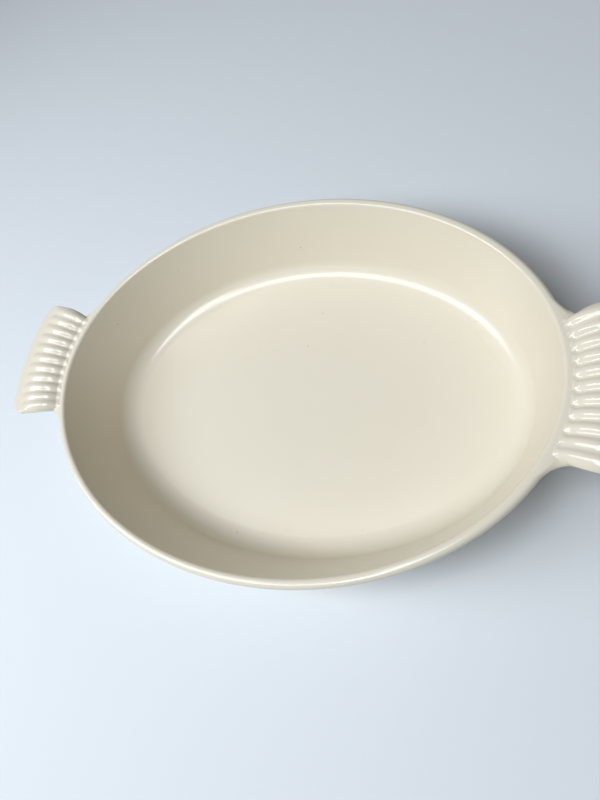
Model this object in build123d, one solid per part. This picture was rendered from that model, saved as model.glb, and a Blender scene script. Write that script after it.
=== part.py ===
from build123d import *
import os
from math import atan, cos, pi, radians, sin, sqrt, tan

# An oval gratin dish: one grey-iron casting with a foot ring and two fluted handles, coated with fused enamel.
# Millimetres. X runs along the dish through both handles, Z is up, and the sole of the foot ring is at Z = 0.

# Bowl, measured on the finished enamel
rim_length = 240.0
rim_width = 174.8
inner_depth = 37.7
wall_thickness = 4.1
floor_thickness = 4.3
wall_flare_degrees = 18.0
inner_corner_radius = 10.5
outer_corner_radius = 13.0
rim_outer_round = 1.9
rim_inner_round = 1.6

# Foot ring under the floor, and the strip at its sole that is ground bare
foot_height = 1.2
foot_width = 4.0
foot_setback = 1.5
foot_draft = 0.4
bare_sole_height = 0.5

# Enamel
enamel_thickness = 0.35

# Handles: lengths outward from the rim's end, heights above the rim plane
handle_reach = 27.0
handle_root_half_width = 27.4
handle_tip_half_width = 30.6
handle_corner_radius = 7.0
handle_root_flare = 3.2
handle_root_length = 4.5
handle_root_overlap = 0.6
handle_root_drop = 2.3
handle_root_depth = 4.0
handle_pocket_depth = 1.7
handle_rise = 3.9
handle_tip_height = 2.6
handle_tip_thickness = 4.8
handle_thickness = 5.6
handle_web_depth = 12.5
handle_edge_chamfer = 1.6
handle_sweep_degrees = 32.0

# Where along the reach the handle's upper and lower faces pass, and how high, as shares of the sizes above
top_reach_shares = (0.04, 0.22, 0.42, 0.64, 0.84)
top_rise_shares = (-0.96, 0.40, 0.92, 1.0, 0.88)
under_reach_shares = (0.80, 0.45, 0.16, -0.02)

# Flutes: convex ribs that fan out from the bowl, each crest an arc
rib_count = 11
rib_root_pitch = 4.9
rib_fan_length = 110.0
rib_radius = 2.45
rib_height = 1.4
rib_arc_radius = 17.5
rib_crest_reach = 13.0
rib_border_share = 0.965
rib_root_swing_degrees = 52.0
rib_tip_swing_degrees = 38.0

# Flat strips that stand for each round stretch
corner_strips = 4
crown_strips = 4
rib_strips = 5
cast_crown_strips = 2
cast_rib_strips = 3

# Overrun of every cutting solid past what it cuts
overrun = 5.0

# Worked out from the sizes above
lean = radians(wall_flare_degrees)
rim_height = foot_height + floor_thickness + inner_depth
half_length = rim_length / 2
half_width = rim_width / 2
end_radius = half_width**2 / half_length
end_centre = half_length - end_radius


def wall_reach(depth, height):
    """How far outside the rim's outline a point lies that is so deep behind the wall's outer face."""
    rise = height - rim_height + rim_outer_round
    return (rim_outer_round - depth + rise * sin(lean)) / cos(lean) - rim_outer_round


def round_edge(radius, centre, first_turn, last_turn, strips):
    """Points round one edge of the bowl's profile, each a reach past the rim's outline and a height."""
    turns = [first_turn + (last_turn - first_turn) * step / strips for step in range(strips + 1)]
    return [(centre[0] + radius * cos(turn), centre[1] + radius * sin(turn)) for turn in turns]


def outer_profile(coat):
    """The bowl's outside from its base up over the rim's outer edge, drawn in by the coat."""
    base_level = foot_height + outer_corner_radius
    base_centre = (wall_reach(outer_corner_radius, base_level), base_level)
    crown_centre = (-rim_outer_round, rim_height - rim_outer_round)
    strips = cast_crown_strips if coat else crown_strips
    base = round_edge(outer_corner_radius - coat, base_centre, -pi / 2, -lean, corner_strips)
    return base + round_edge(rim_outer_round - coat, crown_centre, -lean, pi / 2, strips)


def inner_profile(coat):
    """The bowl's inside from its floor up over the rim's inner edge, widened by the coat."""
    floor_level = foot_height + floor_thickness + inner_corner_radius
    floor_centre = (wall_reach(wall_thickness + inner_corner_radius, floor_level), floor_level)
    crown_level = rim_height - rim_inner_round
    crown_centre = (wall_reach(wall_thickness - rim_inner_round, crown_level), crown_level)
    strips = cast_crown_strips if coat else crown_strips
    floor = round_edge(inner_corner_radius + coat, floor_centre, -pi / 2, -lean, corner_strips)
    return floor + round_edge(rim_inner_round - coat, crown_centre, pi - lean, pi / 2, strips)


def oval(reach, height):
    """An oval round the bowl's axis, so far outside the rim's outline."""
    return Plane.XY.offset(height) * Ellipse(half_length + reach, half_width + reach)


def oval_block(profile):
    """The solid whose outline follows a profile all the way round the oval."""
    return loft([oval(reach, height) for reach, height in profile], ruled=True)


def hollow(coat):
    """The space in the bowl, carried on above the rim to cut it open."""
    profile = inner_profile(coat)
    mouth = (profile[-1][0], rim_height + overrun)
    return oval_block(profile + [mouth])


def foot_flank(sole_inset, root_inset):
    """The block inside one flank of the foot ring, drawn in from where the base turns flat."""
    flat_reach = outer_profile(0)[0][0] - foot_setback
    root = foot_height + floor_thickness / 2
    return oval_block([(flat_reach - sole_inset, 0), (flat_reach - root_inset, root)])


def foot_ring(coat):
    """The flat ring that the dish stands on, drawn in by the coat on its flanks only."""
    outer = foot_flank(foot_draft + coat, coat)
    return outer - foot_flank(foot_width - foot_draft - coat, foot_width - coat)


def rim_x(y, inset):
    """Where the rim's outline, drawn in by an inset, lies at a distance from the long axis."""
    return (half_length - inset) * sqrt(1 - (y / (half_width - inset)) ** 2)


def handle_sides(inset):
    """Where the handle's upper side starts inside the bowl, leaves the rim, and meets the tip's arc."""
    root = (rim_x(handle_root_half_width, 0) + handle_root_length, handle_root_half_width - inset)
    arc_radius = end_radius + handle_reach - inset
    tip_half = handle_tip_half_width - inset
    corner = (end_centre + sqrt(arc_radius**2 - tip_half**2), tip_half)
    inside_x = half_length - end_radius / 2
    slope = (corner[1] - root[1]) / (corner[0] - root[0])
    start = (inside_x, root[1] + slope * (inside_x - root[0]))
    return start, root, corner


def handle_outline(inset):
    """Plan of the right handle, drawn in by an inset: flaring sides and a convex end with round corners."""
    start, root, corner = handle_sides(inset)
    side = Line(start, corner)
    end = ThreePointArc(corner, (half_length + handle_reach - inset, 0), (corner[0], -corner[1]))
    across = Line(start, (start[0], -start[1]))
    face = make_face([side, end, mirror(side, about=Plane.XZ), across])
    corners = face.vertices().group_by(Axis.X)[-1]
    return fillet(corners, handle_corner_radius - inset)


def root_outline(inset):
    """Plan of the webs that carry the handle's sides round into the bowl's wall."""
    start, root, corner = handle_sides(inset)
    flare_half = handle_root_half_width + handle_root_flare
    flare_end = (rim_x(flare_half, inset + handle_root_overlap), flare_half)
    away = Vector(root[0] - corner[0], root[1] - corner[1])
    flared = TangentArc(root, flare_end, tangent=away)
    buried = Line(flare_end, (start[0], flare_half))
    behind_rim = (half_length - wall_thickness, 0)
    across = Polyline(root, behind_rim, (root[0], -root[1]))
    inside = Line((start[0], flare_half), (start[0], -flare_half))
    halves = [flared, buried]
    return make_face(halves + [across, inside] + [mirror(line, about=Plane.XZ) for line in halves])


def handle_section(coat):
    """Upright section of the handle through its middle: a hollow beside the rim, a hump and a thinner tip."""
    beyond = half_length + handle_reach + overrun
    inside = half_length - wall_thickness - overrun
    top = [(inside, -handle_pocket_depth - coat)]
    for reach_share, rise_share in zip(top_reach_shares, top_rise_shares):
        level = handle_rise if rise_share > 0 else handle_pocket_depth
        top.append((half_length + handle_reach * reach_share, level * rise_share - coat))
    top.append((beyond, handle_tip_height - handle_rise + handle_tip_height - coat))
    tip_under = handle_tip_height - handle_tip_thickness + coat
    hump_under = handle_rise - handle_thickness + coat
    under = [
        (beyond, tip_under),
        (half_length + handle_reach * under_reach_shares[0], (tip_under + hump_under) / 2),
        (half_length + handle_reach * under_reach_shares[1], hump_under - rib_height),
        (half_length + handle_reach * under_reach_shares[2], -handle_web_depth / 2 + coat),
        (half_length + handle_reach * under_reach_shares[3], -handle_web_depth + coat),
        (inside, -handle_web_depth - wall_thickness + coat),
    ]
    top_line = Spline([(x, 0, rim_height + z) for x, z in top])
    under_line = Spline([(x, 0, rim_height + z) for x, z in under])
    tip_line = Line(top_line @ 1, under_line @ 0)
    root_line = Line(under_line @ 1, top_line @ 0)
    return make_face([top_line, tip_line, under_line, root_line])


def handle_blade(coat):
    """The smooth handle under its flutes: the section swung round the rim's end, trimmed to the plan."""
    swing_axis = Axis((end_centre, 0, 0), (0, 0, 1))
    section = handle_section(coat).rotate(swing_axis, -handle_sweep_degrees)
    collar = revolve(section, swing_axis, revolution_arc=2 * handle_sweep_degrees)
    above = handle_rise + rib_height + overrun
    below = handle_web_depth + wall_thickness + overrun
    outline = Plane.XY.offset(rim_height + above) * handle_outline(coat - above * tan(lean))
    blade = collar & extrude(outline, amount=-above - below, taper=wall_flare_degrees)
    swung_faces = blade.faces().filter_by(GeomType.REVOLUTION).sort_by(Axis.Z)
    edges = swung_faces[0].edges() + swung_faces[-1].edges()
    edges = [edge for edge in edges if edge.geom_type != GeomType.CIRCLE]
    return chamfer(edges, handle_edge_chamfer - coat)


def handle_root(coat):
    """The webs in the corners between the handle's sides and the bowl's wall."""
    top = rim_height - handle_root_drop - coat
    outline = Plane.XY.offset(top) * root_outline(coat + handle_root_drop * tan(lean))
    return extrude(outline, amount=2 * coat - handle_root_depth, taper=wall_flare_degrees)


def rib_section(coat):
    """A rib's half-round section in strips: the finished one lies outside its circle, the cast one inside."""
    strips = cast_rib_strips if coat else rib_strips
    radius = rib_radius - coat if coat else rib_radius / cos(pi / strips / 2)
    turns = [pi * step / strips for step in range(strips + 1)]
    return make_face(Polyline([(radius * cos(turn), radius * sin(turn)) for turn in turns], close=True))


def rib(index, coat):
    """One flute, swung along an arc that rises out of the rim and sinks into the handle's tip."""
    on_border = abs(index) == (rib_count - 1) / 2
    angle = index * atan(rib_root_pitch / rib_fan_length) * (rib_border_share if on_border else 1)
    fan_to_end = end_centre - half_length + rib_fan_length
    crest_circle = end_radius + rib_crest_reach
    along = fan_to_end * cos(angle) + sqrt(crest_circle**2 - (fan_to_end * sin(angle)) ** 2)
    x = half_length - rib_fan_length + along * cos(angle)
    y = along * sin(angle)
    crest_height = rim_height + handle_rise + rib_height
    ray = (cos(angle), sin(angle), 0)
    across = (-sin(angle), cos(angle), 0)
    station = Plane(origin=(x, y, crest_height - rib_radius), x_dir=across, z_dir=ray)
    swing_axis = Axis((x, y, crest_height - rib_arc_radius), across)
    section = (station * rib_section(coat)).rotate(swing_axis, -rib_root_swing_degrees)
    return revolve(section, swing_axis, revolution_arc=rib_root_swing_degrees + rib_tip_swing_degrees)


def handle(coat):
    """The right handle: smooth blade and its fan of flutes."""
    middle = (rib_count - 1) / 2
    ribs = [rib(number - middle, coat) for number in range(rib_count)]
    return handle_blade(coat).fuse(handle_root(coat), *ribs)


def filled_dish(coat):
    """Bowl filled to the rim, foot ring and handles, drawn in by the coat but at the foot ring's sole."""
    right = handle(coat)
    return oval_block(outer_profile(coat)).fuse(foot_ring(coat), right, mirror(right, about=Plane.YZ))


def sole_slab():
    """The layer at the foot ring's sole that the grinding leaves without enamel."""
    below_sole = Plane.XY.offset(-overrun) * Rectangle(rim_length, rim_width)
    return extrude(below_sole, amount=overrun + bare_sole_height)


def dish_parts():
    """The casting and the three separate stretches of enamel on it."""
    cast_filled = filled_dish(enamel_thickness)
    casting = cast_filled - hollow(enamel_thickness)
    lining = oval_block(inner_profile(enamel_thickness)) - hollow(0)
    coats = filled_dish(0) - sole_slab() - hollow(0) - cast_filled
    base, outside = coats.solids().sort_by(SortBy.VOLUME)
    return {"cast_iron_body": casting, "inner_enamel": lining, "outer_enamel": outside, "base_enamel": base}


if __name__ == "__main__":
    os.makedirs("parts", exist_ok=True)
    for name, shape in dish_parts().items():
        export_step(shape, f"parts/{name}.step")
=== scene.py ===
from math import asin, atan, cos, pi, radians, sin, sqrt, tan

import bpy
import numpy as np
from mathutils import Matrix, Vector


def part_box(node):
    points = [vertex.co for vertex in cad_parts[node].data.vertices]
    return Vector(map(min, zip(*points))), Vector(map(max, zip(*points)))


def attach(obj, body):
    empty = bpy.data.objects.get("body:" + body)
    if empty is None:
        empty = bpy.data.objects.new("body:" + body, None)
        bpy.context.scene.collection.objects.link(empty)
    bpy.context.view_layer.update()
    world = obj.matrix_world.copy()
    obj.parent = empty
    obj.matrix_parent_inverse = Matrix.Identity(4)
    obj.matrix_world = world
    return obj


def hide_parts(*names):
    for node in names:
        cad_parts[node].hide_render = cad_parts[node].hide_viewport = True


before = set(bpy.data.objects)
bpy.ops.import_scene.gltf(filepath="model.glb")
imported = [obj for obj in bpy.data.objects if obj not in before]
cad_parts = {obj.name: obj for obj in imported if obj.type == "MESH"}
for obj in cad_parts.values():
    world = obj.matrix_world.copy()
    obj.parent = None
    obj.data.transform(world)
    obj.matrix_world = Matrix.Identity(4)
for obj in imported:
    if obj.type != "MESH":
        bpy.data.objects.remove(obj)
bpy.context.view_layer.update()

# Lengths are in millimetres in the part's frame, except in the studio, and Blender gets them in metres.
metres = 0.001

# Bowl, measured on the finished glaze
half_length = 120.0
half_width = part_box("outer_enamel")[1].y / metres
wall_thickness = 4.1
floor_thickness = 4.3
lean = radians(18.0)
inner_corner_radius = 10.5
outer_corner_radius = 13.0
rim_outer_round = 1.9
rim_inner_round = 1.6
glaze_thickness = 0.35

# Foot ring
foot_height = 1.2
foot_width = 4.0
foot_setback = 1.5
foot_draft = 0.4
bare_sole_height = 0.5
foot_fillet = 0.45

# Handle: reaches outward from the rim's end, heights above the rim plane
handle_reach = 26.92
tip_lean = atan(0.15)
handle_root_half_width = 27.4
handle_tip_half_width = 31.0
handle_corner_radius = 5.4
handle_root_length = 4.5
handle_edge_round = 1.5
pocket_depth = 1.7
pocket_flat = 1.0
pocket_share = 0.24
hump_rise = 3.9
hump_reach = 13.6
hump_turn = radians(48.0)
tip_height = 3.7

# Lower face of the handle: the stretch that is measured on the solid, and how it is measured
root_under_reach = -3.6
tip_under_reach = 24.5
under_margin = 0.08
under_samples = 57
under_degree = 7
beside_middle = 0.3
below_sole = 1.0

# Flutes
rib_count = 11
rib_root_pitch = 4.9
rib_fan_length = 110.0
rib_radius = 2.45
rib_height = 1.35
rib_arc_radius = 18.0
rib_crest_reach = 12.6
rib_border_share = 0.975
rib_seat_depth = 1.5

# How softly the handle runs into its neighbours: fillets, and the stretches over which they grow
rib_valley_round = 1.7
pocket_fillet = 2.2
pocket_fillet_full = -0.6
side_fillet = 7.5
side_fillet_span = (20.0, 27.0)
under_fillet = 3.5
under_fillet_span = (2.0, 5.0)
web_edge_round = 1.2
web_crown_radius = 14.0

# Patch of wall that belongs to the handle's coat, and the block of space that the coat is meshed in
patch_sink = 0.01
patch_depth = 1.4
patch_span = 3.1
patch_half_width = 42.0
patch_drop = 22.0
block_half_width = 44.0
block_drop = 25.0
block_setback = 20.0
block_margin = 2.0

# Where the glaze pools and where valley shade is painted: clear of the flutes' bars, on the fan's
# reaches, on faces that look up
valley_gap = 0.7
fan_start_span = (-1.0, 2.0)
fan_end_span = (18.0, 22.0)
upward_span = (0.2, 0.8)

# Fineness of the meshes
oval_segments = 480
corner_steps = 18
wall_steps = 8
lining_steps = 10
crown_steps = 14
lip_steps = 6
foot_fillet_steps = 5
hidden_rim_steps = 5
hidden_base_steps = 6
hidden_floor_steps = 8
disc_shares = (0.03, 0.12, 0.25, 0.4, 0.55, 0.7, 0.82, 0.92, 0.98)
handle_step = 0.55
settling_rounds = 4

rim_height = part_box("inner_enamel")[1].z / metres + glaze_thickness
end_radius = half_width**2 / half_length
end_centre = half_length - end_radius


def wall_reach(depth, height):
    """How far outside the rim's outline a point lies that is so deep behind the wall's outer face."""
    rise = height - rim_height + rim_outer_round
    return (rim_outer_round - depth + rise * sin(lean)) / cos(lean) - rim_outer_round


# Centres of the sections' rounds: reach outside the rim's outline, and height
base_level = foot_height + outer_corner_radius
base_centre = (wall_reach(outer_corner_radius, base_level), base_level)
crown_centre = (-rim_outer_round, rim_height - rim_outer_round)
floor_level = foot_height + floor_thickness + inner_corner_radius
floor_centre = (wall_reach(wall_thickness + inner_corner_radius, floor_level), floor_level)
lip_level = rim_height - rim_inner_round
lip_centre = (wall_reach(wall_thickness - rim_inner_round, lip_level), lip_level)
lip_turn = pi - asin(1 - glaze_thickness / rim_inner_round)
ring_reach = base_centre[0] - foot_setback
ring_root = foot_height + floor_thickness / 2


def arc(centre, radius, first, last, steps, side=1):
    """Profile points round a centre: reach, height and the way the surface faces."""
    points = []
    for turn in np.linspace(first, last, steps + 1):
        level, up = cos(turn), sin(turn)
        points.append((centre[0] + radius * level, centre[1] + radius * up, side * level, side * up))
    return points


def straight(start, end, steps):
    """Profile points between two others, facing the way the first one does."""
    points = []
    for step in range(1, steps):
        share = step / steps
        reach = start[0] + (end[0] - start[0]) * share
        height = start[1] + (end[1] - start[1]) * share
        points.append((reach, height, start[2], start[3]))
    return points


def ring_outside(height, depth):
    """The foot ring's outer flank, at a depth behind its face."""
    return ring_reach - depth - foot_draft * (1 - height / ring_root)


def ring_inside(height, depth):
    """The foot ring's inner flank, at a depth behind its face."""
    return ring_reach - foot_width + depth + foot_draft * (1 - height / ring_root)


def outside_profile():
    """Section of the outer coat: ring flank, base, wall, crown and lip, then back along the casting."""
    flank = ring_outside(foot_height, 0)
    fillet_centre = (flank + foot_fillet, foot_height - foot_fillet)
    base = arc(base_centre, outer_corner_radius, -pi / 2, -lean, corner_steps)
    crown = arc(crown_centre, rim_outer_round, -lean, pi / 2, crown_steps)
    lip = arc(lip_centre, rim_inner_round, pi / 2, lip_turn, lip_steps)
    finished = [(ring_outside(bare_sole_height, 0), bare_sole_height, 1, 0)]
    finished += arc(fillet_centre, foot_fillet, pi, pi / 2, foot_fillet_steps, side=-1) + base
    finished += straight(base[-1], crown[0], wall_steps) + crown + lip
    crown_radius = rim_outer_round - glaze_thickness
    base_radius = outer_corner_radius - glaze_thickness
    sunk = arc(crown_centre, crown_radius, pi / 2, -lean, hidden_rim_steps, side=-1)
    sunk += arc(base_centre, base_radius, -lean, -pi / 2, hidden_base_steps, side=-1)
    sunk.append((ring_outside(foot_height, glaze_thickness), foot_height + glaze_thickness, -1, 0))
    sunk.append((ring_outside(bare_sole_height, glaze_thickness), bare_sole_height, -1, 0))
    return finished + sunk


def inside_profile():
    """Section of the lining from the flat floor's edge up to the lip, and its way back behind."""
    corner = arc(floor_centre, inner_corner_radius, -pi / 2, -lean, corner_steps, side=-1)
    lip = arc(lip_centre, rim_inner_round, pi - lean, lip_turn, lip_steps)
    lip_radius = rim_inner_round - glaze_thickness
    corner_radius = inner_corner_radius + glaze_thickness
    back = arc(lip_centre, lip_radius, pi / 2, pi - lean, hidden_rim_steps, side=-1)
    back += arc(floor_centre, corner_radius, -lean, -pi / 2, hidden_floor_steps)
    return corner + straight(corner[-1], lip[0], lining_steps) + lip, back


def base_profile():
    """Section of the coat under the floor, out to the ring's inner flank, and its way back."""
    flank = ring_inside(foot_height, 0)
    fillet_centre = (flank - foot_fillet, foot_height - foot_fillet)
    face = arc(fillet_centre, foot_fillet, pi / 2, 0, foot_fillet_steps, side=-1)
    face.append((ring_inside(bare_sole_height, 0), bare_sole_height, -1, 0))
    back = [(ring_inside(bare_sole_height, glaze_thickness), bare_sole_height, 1, 0)]
    back.append((ring_inside(foot_height, glaze_thickness), foot_height + glaze_thickness, 0, 1))
    return face, back


def oval_rings(profile):
    """Ring radii, height and facing for each point of a profile."""
    return [(half_length + r, half_width + r, z, nr, nz) for r, z, nr, nz in profile]


def disc_rings(edge, shares):
    """Flat rings inside the first or last ring of a profile."""
    r, z, _, nz = edge
    facing = 1 if nz > 0 else -1
    return [((half_length + r) * s, (half_width + r) * s, z, 0, facing) for s in shares]


def add_object(name, data):
    """An object in the scene, for a mesh, a light or a camera."""
    thing = bpy.data.objects.new(name, data)
    bpy.context.scene.collection.objects.link(thing)
    return thing


def finish_mesh(name, points, faces, normals):
    """A smooth-shaded mesh object from millimetre points, its faces turned outward."""
    points = np.asarray(points, float)
    first, second, third = (points[[face[i] for face in faces]] for i in (0, 1, 2))
    fourth = points[[face[-1] for face in faces]]
    volume = np.einsum("ij,ij->i", first, np.cross(second, third) + np.cross(third, fourth)).sum()
    if volume < 0:
        faces = [face[::-1] for face in faces]
    mesh = bpy.data.meshes.new(name)
    mesh.from_pydata((points * metres).tolist(), [], [list(map(int, face)) for face in faces])
    mesh.validate()
    mesh.shade_smooth()
    mesh.normals_split_custom_set_from_vertices(np.asarray(normals, float).tolist())
    return add_object(name, mesh)


def swept_points(rings):
    """Points and normals of rings laid round the oval, ring by ring."""
    turns = np.linspace(0, 2 * pi, oval_segments, endpoint=False)
    across, along = np.cos(turns), np.sin(turns)
    points, normals = [], []
    for rx, ry, z, nr, nz in rings:
        points.append(np.stack([rx * across, ry * along, np.full_like(turns, z)], 1))
        level = np.stack([ry * across * nr, rx * along * nr], 1)
        level_length = np.sqrt((ry * across) ** 2 + (rx * along) ** 2)
        normal = np.column_stack([level / level_length[:, None], np.full_like(turns, nz)])
        normals.append(normal / np.linalg.norm(normal, axis=1)[:, None])
    return np.concatenate(points), np.concatenate(normals)


def oval_piece(name, rings, closed):
    """A coat swept round the oval. A closed section makes a ring, an open one ends in two centres."""
    points, normals = swept_points(rings)
    count = len(rings)
    step = np.arange(oval_segments)
    ahead = (step + 1) % oval_segments
    faces = []
    for ring in range(count if closed else count - 1):
        low, high = ring * oval_segments, (ring + 1) % count * oval_segments
        faces += list(zip(low + step, low + ahead, high + ahead, high + step))
    if not closed:
        for ring in (0, count - 1):
            _, _, height, _, facing = rings[ring]
            centre = len(points)
            points = np.vstack([points, (0, 0, height)])
            normals = np.vstack([normals, (0, 0, facing)])
            edge = ring * oval_segments
            order = (edge + ahead, edge + step) if ring == 0 else (edge + step, edge + ahead)
            faces += [(a, b, centre) for a, b in zip(*order)]
    return finish_mesh(name, points, faces, normals)


def disc_piece(name, face, back):
    """A coat with a flat middle: out from the centre, along its profile, and back in behind."""
    rings = disc_rings(face[0], disc_shares) + oval_rings(face) + oval_rings(back)
    rings += disc_rings(back[-1], disc_shares[::-1])
    return oval_piece(name, rings, closed=False)


def meet(a, b, radius):
    """Where two solids overlap, with a convex round of that radius along their common edge."""
    corner = np.hypot(np.maximum(a + radius, 0), np.maximum(b + radius, 0))
    return np.minimum(np.maximum(a, b), -radius) + corner


def join(a, b, radius):
    """Two solids together, with a concave fillet of that radius where they meet."""
    corner = np.hypot(np.maximum(radius - a, 0), np.maximum(radius - b, 0))
    return np.maximum(np.minimum(a, b), radius) - corner


def soften(low, high, value):
    """0 below low, 1 above high and a smooth rise between."""
    share = np.clip((value - low) / (high - low), 0, 1)
    return share * share * (3 - 2 * share)


def round_rise(radius, run):
    """Height gained on a circle of that radius at a run from its lowest point, and the slope there."""
    upright_share = 0.97
    run = np.clip(run, 0, radius * upright_share)
    drop = np.sqrt(radius**2 - run**2)
    return radius - drop, run / drop


def blade_top(reach):
    """Height and slope of the handle's smooth upper face: pocket, hump and gently falling tip."""
    inflection = pocket_flat + (hump_reach - pocket_flat) * pocket_share
    rise, rise_slope = round_rise((inflection - pocket_flat) / sin(hump_turn), reach - pocket_flat)
    fall, fall_slope = round_rise((hump_reach - inflection) / sin(hump_turn), hump_reach - reach)
    tip_run = handle_reach - hump_reach
    tip_fall = hump_rise - tip_height
    tip, tip_slope = round_rise((tip_run**2 + tip_fall**2) / tip_fall / 2, reach - hump_reach)
    height = np.where(reach < inflection, rise - pocket_depth, hump_rise - fall - tip)
    return height, np.where(reach < inflection, rise_slope, fall_slope - tip_slope)


def lower_face_curve():
    """Polynomial through the lower face of the solid's handle beside its middle, height over reach."""
    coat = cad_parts["outer_enamel"]
    to_coat = coat.matrix_world.inverted()
    upward = to_coat.to_3x3() @ Vector((0, 0, 1))
    reaches = np.linspace(root_under_reach, tip_under_reach, under_samples)
    heights = []
    for reach in reaches:
        below = Vector(((half_length + reach) * metres, beside_middle * metres, -below_sole * metres))
        place = coat.ray_cast(to_coat @ below, upward)[1]
        heights.append((coat.matrix_world @ place).z / metres - rim_height)
    return np.polynomial.Polynomial.fit(reaches, heights, under_degree)


lower_face = lower_face_curve()
lower_slope = lower_face.deriv()


def blade_under(reach):
    """Height and slope of the handle's lower face: a margin under the solid's, straight past its ends."""
    kept = np.clip(reach, root_under_reach, tip_under_reach)
    slope = lower_slope(kept)
    return lower_face(kept) + slope * (reach - kept) - under_margin, slope


def oval_reach(x, y):
    """How far outside the rim's outline each point lies, with both radii of the oval grown alike."""
    reach = (np.sqrt((x / half_length) ** 2 + (y / half_width) ** 2) - 1) * half_length
    for _ in range(settling_rounds):
        along, across = half_length + reach, half_width + reach
        miss = (x / along) ** 2 + (y / across) ** 2 - 1
        reach = reach + miss / (2 * x**2 / along**3 + 2 * y**2 / across**3)
    return reach


def end_swing(x, y):
    """How far outside the rim's end each point lies, measured from the centre of that end's curve."""
    return np.hypot(x - end_centre, y) - end_radius


def wall_side(reach, height):
    """Distance outside the wall's straight outer face."""
    rise = height - rim_height + rim_outer_round
    return (reach + rim_outer_round) * cos(lean) - rim_outer_round - rise * sin(lean)


def wall_field(reach, height):
    """Distance outside the bowl's wall and crown."""
    side = wall_side(reach, height)
    top = height - rim_height
    away, up = reach - crown_centre[0], height - crown_centre[1]
    on_crown = (up > -tan(lean) * away) & (away > 0)
    return np.where(on_crown, np.hypot(away, up) - rim_outer_round, np.maximum(side, top))


def plan_field(x, y, level):
    """Distance outside the handle's plan at a level above the rim."""
    root_x = half_length * sqrt(1 - (handle_root_half_width / half_width) ** 2) + handle_root_length
    tip_radius = end_radius + handle_reach
    corner_x = end_centre + sqrt(tip_radius**2 - handle_tip_half_width**2)
    run, flare = corner_x - root_x, handle_tip_half_width - handle_root_half_width
    side = ((np.abs(y) - handle_root_half_width) * run - (x - root_x) * flare) / sqrt(run**2 + flare**2)
    end = np.hypot(x - end_centre, y) - tip_radius
    return meet(side - level * tan(lean), end - level * tan(tip_lean), handle_corner_radius)


def rib_field(x, y, height, index):
    """Distance outside one flute, a round bar bent over the hump."""
    on_border = abs(index) == (rib_count - 1) / 2
    angle = index * atan(rib_root_pitch / rib_fan_length) * (rib_border_share if on_border else 1)
    fan_x = half_length - rib_fan_length
    along = (x - fan_x) * cos(angle) + y * sin(angle)
    aside = y * cos(angle) - (x - fan_x) * sin(angle)
    fan_to_end = end_centre - fan_x
    crest_radius = end_radius + rib_crest_reach
    crest = fan_to_end * cos(angle) + sqrt(crest_radius**2 - (fan_to_end * sin(angle)) ** 2)
    bend = rib_arc_radius - rib_radius
    bend_height = rim_height + hump_rise + rib_height - rib_arc_radius
    return np.hypot(np.hypot(along - crest, height - bend_height) - bend, aside) - rib_radius


def ribs_field(x, y, height):
    """Distance outside the nearest flute, with a round in the valley between two."""
    middle = (rib_count - 1) // 2
    even = [rib_field(x, y, height, index) for index in range(-middle, middle + 1, 2)]
    odd = [rib_field(x, y, height, index) for index in range(1 - middle, middle, 2)]
    return join(np.minimum.reduce(even), np.minimum.reduce(odd), rib_valley_round)


def fluted_field(x, y, height):
    """Distance outside the handle's blade and flutes, and how far above the blade's upper face."""
    swing = end_swing(x, y)
    top, top_slope = blade_top(swing)
    under, under_slope = blade_under(swing)
    above = (height - rim_height - top) / np.sqrt(1 + top_slope**2)
    below = (under - height + rim_height) / np.sqrt(1 + under_slope**2)
    sides = plan_field(x, y, height - rim_height) * cos(lean)
    blade = meet(np.maximum(above, below), sides, handle_edge_round)
    ribs = np.maximum(ribs_field(x, y, height), -above - rib_seat_depth)
    ribs = meet(ribs, sides, handle_edge_round)
    return join(blade, ribs, rib_valley_round), above


def handle_field(points):
    """Distance outside the right handle and a patch of the wall that carries it, cut off inside the wall.

    Under the rim plane wide webs fill the corners between handle and wall. Above it the pocket's small
    fillet is the only one.
    """
    x, y, height = points[:, 0], points[:, 1], points[:, 2]
    fluted, above = fluted_field(x, y, height)
    reach = oval_reach(x, y)
    wall = wall_field(reach, height)
    sunk_wall = wall + patch_sink
    side_share = soften(*side_fillet_span, np.abs(y))
    under_share = soften(*under_fillet_span, -above)
    beside = pocket_fillet + (side_fillet - pocket_fillet) * side_share
    beneath = pocket_fillet + (under_fillet - pocket_fillet) * under_share
    outward = np.maximum(reach + rim_outer_round, 0)
    web_top = height - rim_height + patch_sink + outward**2 / (2 * web_crown_radius)
    edge_round = patch_sink + web_edge_round * soften(0, 2 * rim_outer_round, outward)
    web = meet(join(fluted, sunk_wall, np.maximum(beside, beneath)), web_top, edge_round)
    close_fillet = pocket_fillet * soften(-rim_outer_round, pocket_fillet_full, reach)
    close = join(fluted, sunk_wall, close_fillet)
    whole = np.minimum(close, web)
    return np.maximum.reduce([whole, -wall - patch_depth, -wall_side(reach, height) - patch_span])


def coat_field(points):
    """Distance outside the right handle's coat, its patch on the wall cut off at both sides and below."""
    walls = np.abs(points[:, 1]) - patch_half_width
    floor = rim_height - patch_drop - points[:, 2]
    return np.maximum.reduce([handle_field(points), walls, floor])


def field_slope(field, points):
    """Gradient of a field at each point."""
    nudge = 0.01
    columns = []
    for axis in range(3):
        step = np.zeros(3)
        step[axis] = nudge
        columns.append((field(points + step) - field(points - step)) / (2 * nudge))
    return np.stack(columns, 1)


def cell_corner(array, offset, cells):
    """What an array holds at one corner of every cell of the grid."""
    return array[tuple(slice(start, start + count) for start, count in zip(offset, cells))]


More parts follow.
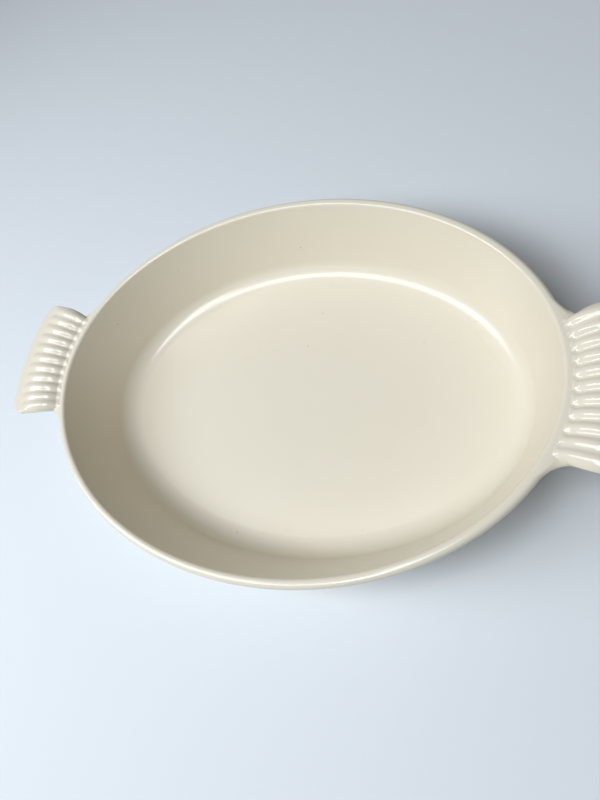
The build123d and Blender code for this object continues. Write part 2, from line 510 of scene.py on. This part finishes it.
def net_points(grid, values, step):
    """One point amid the surface's crossings in each cell, and the number of each cell's point."""
    cells = np.array(values.shape) - 1
    total, hits = np.zeros((*cells, 3)), np.zeros(cells)
    for offset in [(i, j, k) for i in (0, 1) for j in (0, 1) for k in (0, 1)]:
        for axis in range(3):
            if offset[axis]:
                continue
            other = tuple(start + (i == axis) for i, start in enumerate(offset))
            a, b = cell_corner(values, offset, cells), cell_corner(values, other, cells)
            crossed = (a < 0) != (b < 0)
            share = np.where(crossed, a / np.where(crossed, a - b, 1), 0)
            place = cell_corner(grid, offset, cells) + share[..., None] * step * np.eye(3)[axis]
            total += np.where(crossed[..., None], place, 0)
            hits += crossed
    active = hits > 0
    numbers = np.full(cells, -1)
    numbers[active] = np.arange(active.sum())
    return total[active] / hits[active][:, None], numbers


def net_faces(values, numbers):
    """A quad round each edge of the grid that the surface crosses, through the four cells beside it."""
    faces = []
    for axis in range(3):
        u, v = (axis + 1) % 3, (axis + 2) % 3
        take = [slice(1, -1)] * 3
        take[axis] = slice(0, -1)
        ahead = list(take)
        ahead[axis] = slice(1, None)
        start_inside, end_inside = values[tuple(take)] < 0, values[tuple(ahead)] < 0
        edges = np.argwhere(start_inside != end_inside)
        forward = start_inside[tuple(edges.T)]
        edges[:, [u, v]] += 1
        around = []
        for back_u, back_v in ((1, 1), (0, 1), (0, 0), (1, 0)):
            cell = edges.copy()
            cell[:, u] -= back_u
            cell[:, v] -= back_v
            around.append(numbers[tuple(cell.T)])
        quads = np.stack(around, 1)
        quads[~forward] = quads[~forward][:, ::-1]
        faces.append(quads)
    return np.concatenate(faces)


def net_surface(field, low, high, step):
    """Points and quads of a closed mesh round the inside of a field, on a grid of that step."""
    counts = np.ceil((np.array(high) - low) / step).astype(int) + 1
    axes = [low[axis] + step * np.arange(counts[axis]) for axis in range(3)]
    grid = np.stack(np.meshgrid(*axes, indexing="ij"), -1)
    values = field(grid.reshape(-1, 3)).reshape(counts)
    points, numbers = net_points(grid, values, step)
    return points, net_faces(values, numbers)


def settle(points):
    """Points moved onto the coat's surface, by half a cell at most in each round."""
    least_slope = 0.5
    for _ in range(settling_rounds):
        slope = field_slope(coat_field, points)
        steepness = np.maximum((slope**2).sum(1), least_slope**2)
        shift = coat_field(points)[:, None] * slope / steepness[:, None]
        points = points - np.clip(shift, -handle_step / 2, handle_step / 2)
    return points


def pooling_and_valley_shade(points, normals):
    """How much glaze pooling and painted valley shade deepen each point: most in the valleys of the fan,
    where they look up.
    """
    x, y, height = points[:, 0], points[:, 1], points[:, 2]
    valley = soften(0.0, valley_gap, ribs_field(x, y, height))
    swing = end_swing(x, y)
    on_fan = soften(*fan_start_span, swing) * (1 - soften(*fan_end_span, swing))
    return valley * on_fan * soften(*upward_span, normals[:, 2])


def handle_shape():
    """Points, faces, normals, and the mask of glaze pooling and painted valley shade, of the right
    handle's coat.
    """
    low = np.array([half_length - block_setback, -block_half_width, rim_height - block_drop])
    block_top = rim_height + hump_rise + rib_height + block_margin
    high = np.array([half_length + handle_reach + block_margin, block_half_width, block_top])
    points, faces = net_surface(coat_field, low, high, handle_step)
    points = settle(points)
    normals = field_slope(coat_field, points)
    least_length = 1e-6
    normals /= np.maximum(np.linalg.norm(normals, axis=1), least_length)[:, None]
    return points, faces, normals, pooling_and_valley_shade(points, normals)


def handle_pieces():
    """The right handle's coat and its mirror image on the left."""
    points, faces, normals, valley_shade = handle_shape()
    pieces = []
    for name, side in (("right_handle_glaze", 1), ("left_handle_glaze", -1)):
        flip = np.array([side, 1, 1])
        quads = [tuple(face) for face in faces[:, ::side]]
        piece = finish_mesh(name, points * flip, quads, normals * flip)
        # Attribute that carries the mask of glaze pooling and painted valley shade
        valley = piece.data.attributes.new("valley", "FLOAT", "POINT")
        valley.data.foreach_set("value", valley_shade.astype(np.float32))
        pieces.append(piece)
    return pieces


# Cream enamel. Scales are repeats per metre, depths are under the rim plane, heights in millimetres.
cream = (0.81, 0.748, 0.625, 1)
deep_cream = (0.73, 0.65, 0.49, 1)
speck_brown = (0.10, 0.075, 0.05, 1)
enamel_ior = 1.52
# Share by which glaze pooling and painted shade deepen the handles' valleys
pooling_and_shade_share = 0.45
gloss_full_depth = 0.6
gloss_end_depth = 5.0
gloss_roughness = 0.13
satin_roughness = 0.21
smear_scale = 45.0
smear_detail = 4.0
smear = 0.06
peel_height = 0.12
gloss_relief = 0.05
satin_relief = 0.2

# Ground iron
iron_grey = (0.2, 0.19, 0.18, 1)
iron_dark = (0.08, 0.065, 0.055, 1)
iron_roughness = 0.32
grind = 0.35
grind_scale = 700.0
grind_detail = 4.0
grind_height = 0.1
grind_relief = 0.5

# Kinds of socket, and the detail of the noises inside the shader groups
number = "NodeSocketFloat"
colour = "NodeSocketColor"
drift_detail = 3.0
peel_detail = 2.0
ripple_detail = 1.0


def new_group(name, inputs, outputs):
    """An empty shader group with named sockets, and its two end nodes."""
    group = bpy.data.node_groups.new(name, "ShaderNodeTree")
    for label, kind, value in inputs:
        socket = group.interface.new_socket(label, in_out="INPUT", socket_type=kind)
        socket.default_value = value
    for label, kind in outputs:
        group.interface.new_socket(label, in_out="OUTPUT", socket_type=kind)
    return group, group.nodes.new("NodeGroupInput"), group.nodes.new("NodeGroupOutput")


def feed(tree, socket, value):
    """Link an input socket to an output, or give it a fixed value."""
    if isinstance(value, bpy.types.NodeSocket):
        tree.links.new(value, socket)
    else:
        socket.default_value = value


def add_math(tree, operation, *values):
    """A math node fed by sockets or numbers; returns its output."""
    node = tree.nodes.new("ShaderNodeMath")
    node.operation = operation
    for socket, value in zip(node.inputs, values):
        feed(tree, socket, value)
    return node.outputs[0]


def part_place(tree):
    """Where a point lies in the part's own coordinates, in metres."""
    return tree.nodes.new("ShaderNodeTexCoord").outputs["Object"]


def add_noise(tree, scale, detail):
    """A noise texture in the part's own coordinates; returns its value."""
    noise = tree.nodes.new("ShaderNodeTexNoise")
    tree.links.new(part_place(tree), noise.inputs["Vector"])
    feed(tree, noise.inputs["Scale"], scale)
    noise.inputs["Detail"].default_value = detail
    return noise.outputs["Fac"]


def colour_socket(sockets, name):
    """The colour socket of that name among a Mix node's inputs or outputs."""
    return [socket for socket in sockets if socket.name == name and socket.type == "RGBA"][0]


def add_mix(tree, share, first, second):
    """A mix of two colours, each a socket or a value; returns its output."""
    node = tree.nodes.new("ShaderNodeMix")
    node.data_type = "RGBA"
    tree.links.new(share, node.inputs[0])
    feed(tree, colour_socket(node.inputs, "A"), first)
    feed(tree, colour_socket(node.inputs, "B"), second)
    return colour_socket(node.outputs, "Result")


def add_bump(tree, height, strength, distance):
    """A bump from a height socket; returns its normal."""
    bump = tree.nodes.new("ShaderNodeBump")
    bump.inputs["Strength"].default_value = strength
    bump.inputs["Distance"].default_value = distance * metres
    tree.links.new(height, bump.inputs["Height"])
    return bump.outputs["Normal"]


def glaze_tone_group():
    """A tone that drifts over the surface towards a deeper one, and deepens where glaze pools and where
    valley shade is painted.
    """
    inputs = [
        ("Glaze", colour, cream),
        ("Deep Glaze", colour, deep_cream),
        ("Drift Scale", number, 30.0),
        ("Drift", number, 0.2),
        ("Pooling And Shade", number, 0.0),
    ]
    group, given, result = new_group("glaze_tone", inputs, [("Color", colour)])
    drift = add_noise(group, given.outputs["Drift Scale"], drift_detail)
    drift = add_math(group, "MULTIPLY", drift, given.outputs["Drift"])
    share = add_math(group, "ADD", drift, given.outputs["Pooling And Shade"])
    tone = add_mix(group, share, given.outputs["Glaze"], given.outputs["Deep Glaze"])
    group.links.new(tone, result.inputs["Color"])
    return group


def orange_peel_group():
    """Height of a fine peel over a slower ripple, for fired glaze and for ground iron."""
    inputs = [
        ("Peel Scale", number, 500.0),
        ("Peel", number, 0.4),
        ("Ripple Scale", number, 60.0),
        ("Ripple", number, 0.6),
    ]
    group, given, result = new_group("orange_peel", inputs, [("Height", number)])
    peel = add_noise(group, given.outputs["Peel Scale"], peel_detail)
    peel = add_math(group, "MULTIPLY", peel, given.outputs["Peel"])
    ripple = add_noise(group, given.outputs["Ripple Scale"], ripple_detail)
    ripple = add_math(group, "MULTIPLY", ripple, given.outputs["Ripple"])
    group.links.new(add_math(group, "ADD", peel, ripple), result.inputs["Height"])
    return group


def pinhole_group():
    """Mask of the few tiny dark pinholes and iron specks in the glaze."""
    inputs = [("Spacing", number, 110.0), ("Size", number, 0.035)]
    group, given, result = new_group("pinhole_specks", inputs, [("Mask", number)])
    cells = group.nodes.new("ShaderNodeTexVoronoi")
    group.links.new(part_place(group), cells.inputs["Vector"])
    group.links.new(given.outputs["Spacing"], cells.inputs["Scale"])
    near = add_math(group, "LESS_THAN", cells.outputs["Distance"], given.outputs["Size"])
    group.links.new(near, result.inputs["Mask"])
    return group


def height_group():
    """0 below one height of the part and 1 above another, in metres."""
    inputs = [("From", number, 0.0), ("To", number, 1.0)]
    group, given, result = new_group("height_blend", inputs, [("Mask", number)])
    split = group.nodes.new("ShaderNodeSeparateXYZ")
    group.links.new(part_place(group), split.inputs[0])
    blend = group.nodes.new("ShaderNodeMapRange")
    blend.interpolation_type = "SMOOTHSTEP"
    group.links.new(split.outputs["Z"], blend.inputs["Value"])
    group.links.new(given.outputs["From"], blend.inputs["From Min"])
    group.links.new(given.outputs["To"], blend.inputs["From Max"])
    group.links.new(blend.outputs["Result"], result.inputs["Mask"])
    return group


glaze_tone = glaze_tone_group()
orange_peel = orange_peel_group()
pinhole_specks = pinhole_group()
height_blend = height_group()


def place_group(tree, group, **values):
    """One use of a shader group with its own values."""
    node = tree.nodes.new("ShaderNodeGroup")
    node.node_tree = group
    for label, value in values.items():
        node.inputs[label.replace("_", " ")].default_value = value
    return node


def new_material(name):
    """A new material, its node tree and its shader."""
    material = bpy.data.materials.new(name)
    material.use_nodes = True
    tree = material.node_tree
    return material, tree, tree.nodes["Principled BSDF"]


def set_material(piece, material):
    """Give a piece one material and no other."""
    piece.data.materials.clear()
    piece.data.materials.append(material)


def enamel_material(name, roughness, relief):
    """Fired cream enamel of that relief, and of that roughness up to near the rim, where it is glossy."""
    material, tree, shader = new_material(name)
    shader.inputs["IOR"].default_value = enamel_ior
    colours = {"Glaze": cream, "Deep_Glaze": deep_cream}
    tone = place_group(tree, glaze_tone, **colours, Drift_Scale=28.0, Drift=0.25)
    # The handles' valleys deepen in tone: partly glaze pooling, partly painted shade
    valley = tree.nodes.new("ShaderNodeAttribute")
    valley.attribute_name = "valley"
    valley_shade = add_math(tree, "MULTIPLY", valley.outputs["Fac"], pooling_and_shade_share)
    tree.links.new(valley_shade, tone.inputs["Pooling And Shade"])
    specks = place_group(tree, pinhole_specks, Spacing=80.0, Size=0.018)
    specked = add_mix(tree, specks.outputs["Mask"], tone.outputs["Color"], speck_brown)
    tree.links.new(specked, shader.inputs["Base Color"])
    blend_low = (rim_height - gloss_end_depth) * metres
    blend_high = (rim_height - gloss_full_depth) * metres
    near_rim = place_group(tree, height_blend, From=blend_low, To=blend_high).outputs["Mask"]
    rough = add_math(tree, "MULTIPLY_ADD", near_rim, gloss_roughness - roughness, roughness)
    smears = add_noise(tree, smear_scale, smear_detail)
    smears = add_math(tree, "MULTIPLY_ADD", smears, smear, -smear / 2)
    tree.links.new(add_math(tree, "ADD", rough, smears), shader.inputs["Roughness"])
    peel = place_group(tree, orange_peel, Peel_Scale=420.0, Peel=0.35, Ripple_Scale=70.0, Ripple=0.9)
    bumpy = add_bump(tree, peel.outputs["Height"], relief, peel_height)
    tree.links.new(bumpy, shader.inputs["Normal"])
    return material


def ground_iron_material():
    """Grey iron, ground bare at the foot ring's sole."""
    material, tree, shader = new_material("ground_iron")
    shader.inputs["Metallic"].default_value = 1.0
    colours = {"Glaze": iron_grey, "Deep_Glaze": iron_dark}
    tone = place_group(tree, glaze_tone, **colours, Drift_Scale=90.0, Drift=0.9)
    tree.links.new(tone.outputs["Color"], shader.inputs["Base Color"])
    ground = add_noise(tree, grind_scale, grind_detail)
    rough = add_math(tree, "MULTIPLY_ADD", ground, grind, iron_roughness)
    tree.links.new(rough, shader.inputs["Roughness"])
    grain = place_group(tree, orange_peel, Peel_Scale=1800.0, Peel=0.8, Ripple_Scale=300.0, Ripple=0.4)
    bumpy = add_bump(tree, grain.outputs["Height"], grind_relief, grind_height)
    tree.links.new(bumpy, shader.inputs["Normal"])
    return material


def dress_dish():
    """Every visible piece of the dish, with its finish."""
    gloss = enamel_material("gloss_enamel", gloss_roughness, gloss_relief)
    satin = enamel_material("satin_enamel", satin_roughness, satin_relief)
    outside = oval_piece("outside_glaze", oval_rings(outside_profile()), closed=True)
    lining = disc_piece("lining_glaze", *inside_profile())
    base = disc_piece("base_glaze", *base_profile())
    right, left = handle_pieces()
    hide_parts("outer_enamel")
    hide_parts("outer_enamel")
    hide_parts("outer_enamel")
    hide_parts("inner_enamel")
    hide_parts("base_enamel")
    for piece in (outside, right, left, base, lining):
        set_material(piece, satin if piece is lining else gloss)
        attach(piece, "root")
    iron = ground_iron_material()
    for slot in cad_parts["cast_iron_body"].material_slots:
        slot.material = iron


# Studio. The floor, the lights and their places are in metres.
floor_half = 4.0
floor_colour = (0.74, 0.78, 0.82, 1)
floor_roughness = 0.7
window_colour = (0.90, 0.95, 1.0)
room_colour = (1.0, 0.82, 0.60, 1)
room_strength = 0.05
backdrop_colour = (0.66, 0.71, 0.76, 1)

# Viewpoint of the photograph: lens in pixels, ways across and up, place from the rim plane's middle
picture_height = 800
focal_length = 551.275
picture_right = (0.893752, 0.202993, -0.400002)
picture_up = (-0.063851, 0.940236, 0.334484)
viewpoint = (119.4568, -73.32, 191.0742)
film_size = 36.0
nearest_view = 10.0


def add_floor():
    """A plain pale floor under the foot ring."""
    mesh = bpy.data.meshes.new("studio_floor")
    corners = [(x * floor_half, y * floor_half, 0) for x, y in ((-1, -1), (1, -1), (1, 1), (-1, 1))]
    mesh.from_pydata(corners, [], [(0, 1, 2, 3)])
    floor = add_object("studio_floor", mesh)
    material, _, shader = new_material("studio_floor")
    shader.inputs["Base Color"].default_value = floor_colour
    shader.inputs["Roughness"].default_value = floor_roughness
    set_material(floor, material)


def add_window(name, place, long_side, size, power):
    """A soft rectangular light that faces the dish, its long side along a level direction."""
    light = bpy.data.lights.new(name, "AREA")
    light.shape = "RECTANGLE"
    light.size, light.size_y = size
    light.energy = power
    light.color = window_colour
    back = Vector(place).normalized()
    across = Vector(long_side).cross(back).normalized()
    turn = Matrix((across.cross(back) * -1, across * -1, back)).transposed().to_4x4()
    add_object(name, light).matrix_world = Matrix.Translation(place) @ turn


def add_world():
    """Soft light from all round, with a pale backdrop for the eye and for reflections."""
    world = bpy.data.worlds.new("studio")
    bpy.context.scene.world = world
    world.use_nodes = True
    tree = world.node_tree
    soft = tree.nodes["Background"]
    soft.inputs["Color"].default_value = room_colour
    soft.inputs["Strength"].default_value = room_strength
    backdrop = tree.nodes.new("ShaderNodeBackground")
    backdrop.inputs["Color"].default_value = backdrop_colour
    path = tree.nodes.new("ShaderNodeLightPath")
    seen = add_math(tree, "MAXIMUM", path.outputs["Is Camera Ray"], path.outputs["Is Glossy Ray"])
    seen = add_math(tree, "MAXIMUM", seen, path.outputs["Is Transmission Ray"])
    mix = tree.nodes.new("ShaderNodeMixShader")
    tree.links.new(seen, mix.inputs[0])
    tree.links.new(soft.outputs[0], mix.inputs[1])
    tree.links.new(backdrop.outputs[0], mix.inputs[2])
    tree.links.new(mix.outputs[0], tree.nodes["World Output"].inputs["Surface"])


def add_camera():
    """A camera at the photograph's viewpoint."""
    camera = bpy.data.cameras.new("camera")
    camera.sensor_width = film_size
    camera.lens = focal_length / picture_height * film_size
    camera.clip_start = nearest_view * metres
    right, up = Vector(picture_right), Vector(picture_up)
    turn = Matrix((right, up, right.cross(up))).transposed().to_4x4()
    x, y, above_rim = viewpoint
    place = Vector((x, y, rim_height + above_rim)) * metres
    viewer = add_object("camera", camera)
    viewer.matrix_world = Matrix.Translation(place) @ turn
    bpy.context.scene.camera = viewer


add_camera()
dress_dish()
add_floor()
add_window("front window", place=(-0.08, -0.34, 0.94), long_side=(0, 1, 0), size=(0.66, 0.24), power=5.1)
add_window("side window", place=(-0.58, -0.26, 0.77), long_side=(1, 0, 0), size=(0.80, 0.34), power=6.5)
add_world()
bpy.context.scene.view_settings.view_transform = "Standard"
